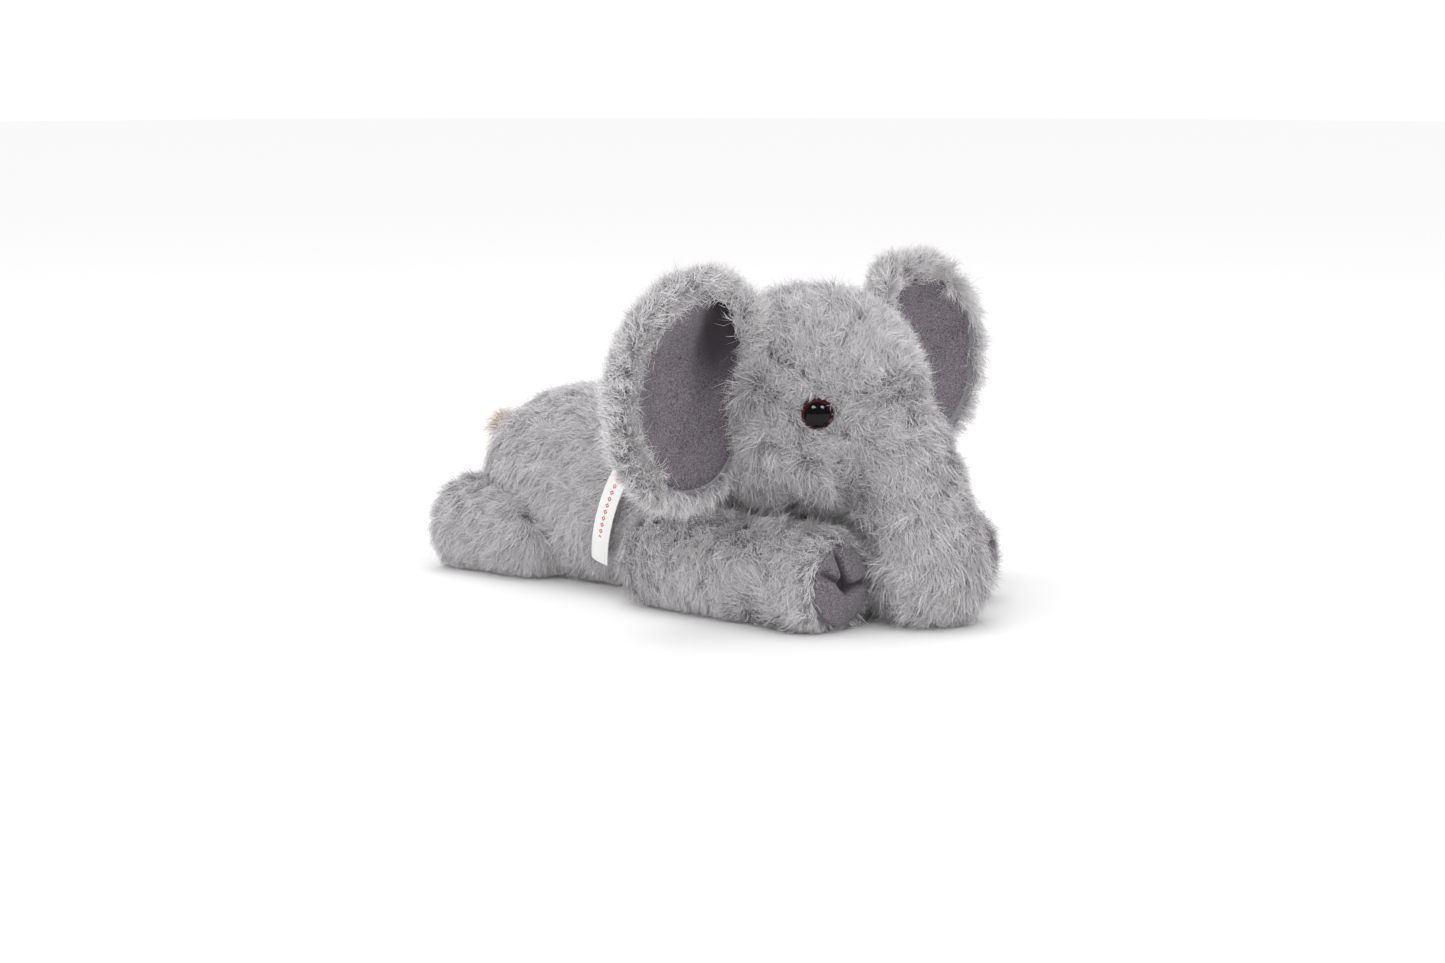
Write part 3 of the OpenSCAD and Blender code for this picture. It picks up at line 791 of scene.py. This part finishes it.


# The ear fur takes the lighter copy and leans its strands to the light end (shade 0.7): painted light on
# the rims.
ear_look = dict(
    look, length=0.0098, rise=1.05, sag=0.03, gather=0.2, patchy=0.08, shade=0.7, material=fur_lit_rim
)
for side in sides:
    body = f"ear_{side}"
    back = lofted(f"ear_back_{side}_cloth", [
        *[ear_ring(side, k, -0.002) for k in (*back_shares, 0.87, 0.95, 0.99)],
        ear_ring(side, 1.0, -0.0006), ear_ring(side, 1.0, 0.0012), ear_ring(side, 0.985, 0.0022),
        ear_ring(side, 0.94, 0.0024), ear_ring(side, 0.87, 0.0018),
        *[ear_ring(side, k, 0.0006) for k in back_shares[::-1]],
    ])
    back.data.materials.append(backing)
    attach(back, body)
    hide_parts(f"ear_back_{side}")
    lining_share = 1 - rim_width(ear_angles, side) / ear_radius
    lining = lofted(f"ear_lining_{side}_suede", [
        *[ear_ring(side, k * lining_share, 0.0012) for k in (0.03, 0.2, 0.4, 0.6, 0.8, 0.93)],
        ear_ring(side, lining_share, 0.0018),
        *[ear_ring(side, k * lining_share, 0.0026) for k in lining_shares[::-1]],
    ])
    at = coordinates(lining.data)
    root_u = np.abs(at[:, 0]) - ear_root.x
    root_v = at[:, 2] - ear_root.z
    # Painted shade: the lining is darkened along the pleat at its root and toward the head, where the
    # fold is in shade.
    in_fold = np.exp(-(((root_u - 0.012) / 0.01) ** 2)) / (1 + np.exp(-(root_v - 0.004) / 0.007))
    near_head = 1 / (1 + np.exp((root_u - 0.02) / 0.006))
    paint_fold_shade(lining, np.clip(0.02 + 0.9 * in_fold + 0.3 * near_head, 0, 0.98))
    lining.data.materials.append(suede)
    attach(lining, body)
    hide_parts(f"ear_lining_{side}")
    tri, normal, area = surface_of(back.data)
    middle = tri.mean(1)
    sign = 1 if side == "left" else -1
    lining_tree = tree_of(lining.data)
    under = np.array([lining_tree.find_nearest(Vector(m))[3] for m in middle])
    front = (normal.mean(1)[:, 1] < faces_front) & (under < lining_near)
    inside_head = depth_inside(skin_trees["head"], middle) > inside_by
    keep = ~front & ~inside_head

    def ear_flow(p):
        lie = np.zeros_like(p)
        lie[:, 0] = p[:, 0] - sign * (ear_root.x + 0.02)
        lie[:, 2] = p[:, 2] - ear_root.z
        return unit(lie) + np.array([0, 0, -0.25])

    surface = (tri[keep], normal[keep], area[keep])
    coat = fur_coat(f"ear_back_{side}_fur", body, surface, coat_count(area[keep]), ear_flow, ear_look)
    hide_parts(f"ear_back_{side}")

# --- eyes ------------------------------------------------------------------------
# Safety eyes moulded in clear plastic over a black pupil and a red-brown iris.
# The shank goes through the skin, and a washer locks it from inside.
eye_plastic, eye_nodes, eye_links, eye_shader = new_material("eye_plastic", 0.06)
eye_shader.inputs["Specular IOR Level"].default_value = 0
eye_shader.inputs["Coat Weight"].default_value = 0.65
eye_shader.inputs["Coat IOR"].default_value = 1.4
eye_shader.inputs["Coat Roughness"].default_value = 0.02
eye_uv = eye_nodes.new("ShaderNodeUVMap")
eye_uv.uv_map = "OFBake"
eye_split = eye_nodes.new("ShaderNodeSeparateXYZ")
eye_iris = eye_nodes.new("ShaderNodeValToRGB")
iris = eye_iris.color_ramp
iris.elements[0].position = 0.76
iris.elements[0].color = (0.003, 0.003, 0.004, 1)
iris.elements[1].position = 0.8
iris.elements[1].color = (0.035, 0.008, 0.006, 1)
iris.elements.new(0.9).color = (0.075, 0.012, 0.011, 1)
iris.elements.new(0.98).color = (0.02, 0.006, 0.005, 1)
eye_links.new(eye_uv.outputs["UV"], eye_split.inputs["Vector"])
eye_links.new(eye_split.outputs["Y"], eye_iris.inputs["Fac"])
eye_links.new(eye_iris.outputs["Color"], eye_shader.inputs["Base Color"])
eye_turn = math.radians(48)
eye_dome = 0.0052
for side in sides:
    sign = 1 if side == "left" else -1
    axis = Vector((sign * math.sin(eye_turn), -math.cos(eye_turn), 0))
    node_points = coordinates(nodes[f"eye_{side}"].data)
    on_axis = Vector(node_points[(node_points @ np.array(axis)).argmax()])
    low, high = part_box(f"eye_{side}")
    eye_r = (high.z - low.z) / 2
    bpy.ops.object.select_all(action="DESELECT")
    bpy.ops.mesh.primitive_uv_sphere_add(segments=64, ring_count=40, radius=eye_r)
    eye = bpy.context.object
    eye.name = f"eye_{side}_dome"
    bpy.ops.object.mode_set(mode="EDIT")
    bpy.ops.mesh.select_all(action="SELECT")
    bpy.ops.mesh.bisect(plane_co=(0, 0, 0), plane_no=(0, 0, 1), clear_inner=True, use_fill=True)
    bpy.ops.mesh.select_all(action="SELECT")
    bpy.ops.transform.resize(value=(1, 1, eye_dome / eye_r))
    bpy.ops.object.mode_set(mode="OBJECT")
    eye_uvs = eye.data.uv_layers[0]
    eye_uvs.name = "OFBake"
    for loop in eye.data.loops:
        at = eye.data.vertices[loop.vertex_index].co
        eye_uvs.data[loop.index].uv = (0.5, min(0.999, math.hypot(at.x, at.y) / eye_r))
    turn = Vector((0, 0, 1)).rotation_difference(axis).to_matrix().to_4x4()
    centre = Vector((on_axis.x, on_axis.y, (low.z + high.z) / 2)) - axis * eye_dome
    eye.data.transform(Matrix.Translation(centre) @ turn)
    only_select(eye)
    bpy.ops.object.shade_smooth_by_angle(angle=math.radians(50))
    eye.data.materials.append(eye_plastic)
    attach(eye, "head")
    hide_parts(f"eye_{side}")

# --- soles -----------------------------------------------------------------------
# Each foot ends in a round of the same suede. A hidden stitch through the foot
# pulls three creases into it, which meet near the middle.
middle_y = 0.02
sole_around = 96
sole_dome, sole_wrinkle = 0.0042, 0.0002
stitch_depth, stitch_reach = 0.0028, 0.0042
crease_end = 0.93


def sole_round(name, node_name, body, creases):
    """The suede round of one foot. Each crease has a direction, a depth and a width."""
    points = coordinates(nodes[node_name].data)
    centre = points.mean(0)
    _, axes = np.linalg.eigh(np.cov((points - centre).T))
    out = axes[:, 0]
    out = out * np.sign(out[1] * (centre[1] - middle_y))
    across = unit(np.cross([0.0, 0, 1], out))
    upright = np.cross(out, across)
    radius = np.abs((points - centre) @ upright).max()
    angle = np.linspace(0, 2 * math.pi, sole_around, endpoint=False)

    def ring(share, off, shaped=True):
        at = radius * share * np.stack([np.cos(angle), np.sin(angle)], 1)
        height = np.full(len(angle), off)
        if shaped:
            height = height + sole_dome * (1 - share**2)
            for turn, depth, width in creases:
                along = at @ [math.cos(turn), math.sin(turn)]
                beside = at @ [-math.sin(turn), math.cos(turn)]
                reach = 1 / (1 + np.exp(-(along + 0.001) / 0.0012))
                reach = reach / (1 + np.exp((along - radius * crease_end) / 0.0015))
                height = height - depth * reach * np.exp(-((beside / width) ** 2))
            height = height - stitch_depth * np.exp(-((share * radius / stitch_reach) ** 2))
            height = height + sole_wrinkle * np.sin(angle * 17 + share * 9) * share**2
        return centre + at[:, :1] * across + at[:, 1:] * upright + height[:, None] * out

    hidden_back = [ring(k, -0.002, False) for k in (0.03, 0.5, 0.98)]
    seam = ring(1.02, -0.0008, False)
    sole = lofted(name, [*hidden_back, seam, *[ring(k, 0.0) for k in np.linspace(0.03, 1, 26)[::-1]]])
    # The sole is a little darker all over, and painted shade darkens it further where the creases and the
    # stitch sink below the dome.
    at = coordinates(sole.data) - centre
    height = at @ out
    from_middle = ((at - np.outer(height, out)) ** 2).sum(1) / radius**2
    deep = np.clip((0.0036 * (1 - from_middle) - height) / 0.0024, 0, 1)
    paint_fold_shade(sole, 0.12 + 0.8 * deep)
    sole.data.materials.append(suede)
    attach(sole, body)
    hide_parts(node_name)


for side in sides:
    for leg in ("front_leg", "hind_leg"):
        turns = [math.radians(a) for a in (2, 104, 150)]
        if side == "left":
            turns = [math.pi - t for t in turns]
        creases = list(zip(turns, (0.0032, 0.0034, 0.0028), (0.0018, 0.0017, 0.0018)))
        sole_round(f"{leg}_{side}_sole_suede", f"{leg}_{side}_sole", f"{leg}_{side}", creases)

# --- tail ------------------------------------------------------------------------
# A thin stuffed tube of tan fur, sewn into the back seam, which hangs over the
# rump. Its pile is longer than the body's and covers its shape.
tail_strands = 12000
tail_skin = stuffed_skin("tail_skin", "tail", ["tail"], voxel=0.0018, swell=0.0006)
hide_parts("tail")


def tail_flow(p):
    lie = np.zeros_like(p)
    lie[:, 2] = -1
    lie[:, 1] = 0.1
    return lie


tail_look = dict(look, material=fur_tan, length=0.0145, rise=0.95, wild=0.6, sag=0.2, shade=0.6)
tail_coat = fur_coat("tail_fur", "tail", surface_of(tail_skin.data), tail_strands, tail_flow, tail_look)
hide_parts("tail")

# --- care label ------------------------------------------------------------------
# A folded strip of white satin caught in the side seam. It carries a row of small
# red woven lozenges and hangs over the ribs.
satin, satin_nodes, satin_links, satin_shader = new_material("label_satin", 0.38)
satin_shader.inputs["Sheen Weight"].default_value = 0.2
satin_uv = satin_nodes.new("ShaderNodeUVMap")
satin_uv.uv_map = "OFBake"
satin_split = satin_nodes.new("ShaderNodeSeparateXYZ")
satin_links.new(satin_uv.outputs["UV"], satin_split.inputs["Vector"])


def satin_math(operation, a, b=None):
    node = satin_nodes.new("ShaderNodeMath")
    node.operation = operation
    for socket, value in ((node.inputs[0], a), (node.inputs[1], b)):
        if value is None:
            continue
        if isinstance(value, (int, float)):
            socket.default_value = value
        else:
            satin_links.new(value, socket)
    return node.outputs["Value"]


lozenges = 15
woven_from, woven_to = 0.3, 0.93
label_u, label_v = satin_split.outputs["X"], satin_split.outputs["Y"]
in_lozenge = satin_math("FRACT", satin_math("MULTIPLY", label_v, lozenges))
off_along = satin_math("ABSOLUTE", satin_math("SUBTRACT", in_lozenge, 0.5))
off_across = satin_math("ABSOLUTE", satin_math("SUBTRACT", label_u, 0.5))
long_share, wide_share = satin_math("MULTIPLY", off_along, 2.0), satin_math("MULTIPLY", off_across, 7.0)
lozenge = satin_math("ADD", long_share, wide_share)
in_outer, out_inner = satin_math("LESS_THAN", lozenge, 0.78), satin_math("GREATER_THAN", lozenge, 0.3)
outline = satin_math("MULTIPLY", in_outer, out_inner)
after_start = satin_math("GREATER_THAN", label_v, woven_from)
before_end = satin_math("LESS_THAN", label_v, woven_to)
red_mask = satin_math("MULTIPLY", outline, satin_math("MULTIPLY", after_start, before_end))
satin_mix = satin_nodes.new("ShaderNodeMix")
satin_mix.data_type = "RGBA"
satin_mix.inputs["A"].default_value = (0.86, 0.87, 0.85, 1)
satin_mix.inputs["B"].default_value = (0.75, 0.05, 0.03, 1)
satin_links.new(red_mask, satin_mix.inputs["Factor"])
satin_links.new(satin_mix.outputs["Result"], satin_shader.inputs["Base Color"])
satin_weave = satin_nodes.new("ShaderNodeTexWave")
satin_weave.inputs["Scale"].default_value = 60
satin_weave.inputs["Distortion"].default_value = 0.4
satin_bump = satin_nodes.new("ShaderNodeBump")
satin_bump.inputs["Strength"].default_value = 0.15
satin_bump.inputs["Distance"].default_value = 0.0002
satin_links.new(satin_uv.outputs["UV"], satin_weave.inputs["Vector"])
satin_links.new(satin_weave.outputs["Fac"], satin_bump.inputs["Height"])
satin_links.new(satin_bump.outputs["Normal"], satin_shader.inputs["Normal"])

label_w, label_l = 0.011, 0.046
label_root = np.array(joint_at["label_flap"])
label_lean = math.radians(15)
label_down = np.array([0, math.sin(label_lean), -math.cos(label_lean)])
label_across = np.array([0, math.cos(label_lean), math.sin(label_lean)])
label_rows, label_columns = 36, 8
label_points, label_faces = [], []
label_bend = math.radians(50)
label_start = math.radians(24)
label_radius = label_l / label_bend
label_clear, label_kick, label_curl = 0.0055, 0.004, 0.0009
for i in range(label_rows + 1):
    run = i / label_rows
    angle = label_start - label_bend * run
    out = label_radius * (math.cos(angle) - math.cos(label_start)) + label_clear + label_kick * run**2
    down = label_radius * (math.sin(label_start) - math.sin(angle))
    for j in range(label_columns + 1):
        beside = j / label_columns - 0.5
        curl = label_curl * (1 - 4 * beside * beside) * run
        at = label_root + np.array([-out - curl, 0, 0]) + label_down * down
        label_points.append(tuple(at + label_across * (beside * label_w)))
for i in range(label_rows):
    for j in range(label_columns):
        a = i * (label_columns + 1) + j
        label_faces.append((a, a + label_columns + 1, a + label_columns + 2, a + 1))
label_mesh = bpy.data.meshes.new("care_label_satin")
label_mesh.from_pydata(label_points, [], label_faces)
label_map = label_mesh.uv_layers.new(name="OFBake")
for loop in label_mesh.loops:
    row, column = divmod(loop.vertex_index, label_columns + 1)
    label_map.data[loop.index].uv = (0.02 + 0.96 * column / label_columns, 0.98 - 0.96 * row / label_rows)
label = bpy.data.objects.new("care_label_satin", label_mesh)
scene.collection.objects.link(label)
only_select(label)
folded = label.modifiers.new("two_layers", "SOLIDIFY")
folded.thickness = 0.0005
folded.offset = 0
bpy.ops.object.modifier_apply(modifier=folded.name)
bpy.ops.object.shade_smooth_by_angle(angle=math.radians(40))
label.data.materials.append(satin)
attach(label, "care_label")
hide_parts("care_label")

# --- filling, pellets and washers --------------------------------------------------
# Inside the skins: polyester fibre, a pouch of pellets, and a plastic
# washer locked on each eye's shank.
def inner_material(name, dark, light, scale, roughness, depth):
    made, n, links, shader = new_material(name, roughness)
    place = n.new("ShaderNodeTexCoord")
    grain = n.new("ShaderNodeTexNoise")
    grain.inputs["Scale"].default_value = scale
    grain.inputs["Detail"].default_value = 6
    ramp = n.new("ShaderNodeValToRGB")
    ramp.color_ramp.elements[0].color = (*dark, 1)
    ramp.color_ramp.elements[1].color = (*light, 1)
    bump = n.new("ShaderNodeBump")
    bump.inputs["Strength"].default_value = 0.5
    bump.inputs["Distance"].default_value = depth
    links.new(place.outputs["Object"], grain.inputs["Vector"])
    links.new(grain.outputs["Fac"], ramp.inputs["Fac"])
    links.new(grain.outputs["Fac"], bump.inputs["Height"])
    links.new(ramp.outputs["Color"], shader.inputs["Base Color"])
    links.new(bump.outputs["Normal"], shader.inputs["Normal"])
    return made


fibre = inner_material(
    "polyester_fibre", (0.7, 0.7, 0.68), (0.88, 0.88, 0.87), scale=420, roughness=0.95, depth=0.001
)
pouch_cloth = inner_material(
    "pouch_cloth", (0.6, 0.58, 0.53), (0.76, 0.74, 0.7), scale=900, roughness=0.9, depth=0.0004
)
washer_plastic = inner_material(
    "washer_plastic", (0.74, 0.74, 0.73), (0.83, 0.83, 0.82), scale=260, roughness=0.42, depth=0.0001
)
for node_name, node in nodes.items():
    made = None
    if node_name.endswith("_stuffing"):
        made = fibre
    elif node_name == "pellet_pouch":
        made = pouch_cloth
    elif node_name.startswith("eye_washer"):
        made = washer_plastic
    if made:
        node.data.materials.clear()
        node.data.materials.append(made)
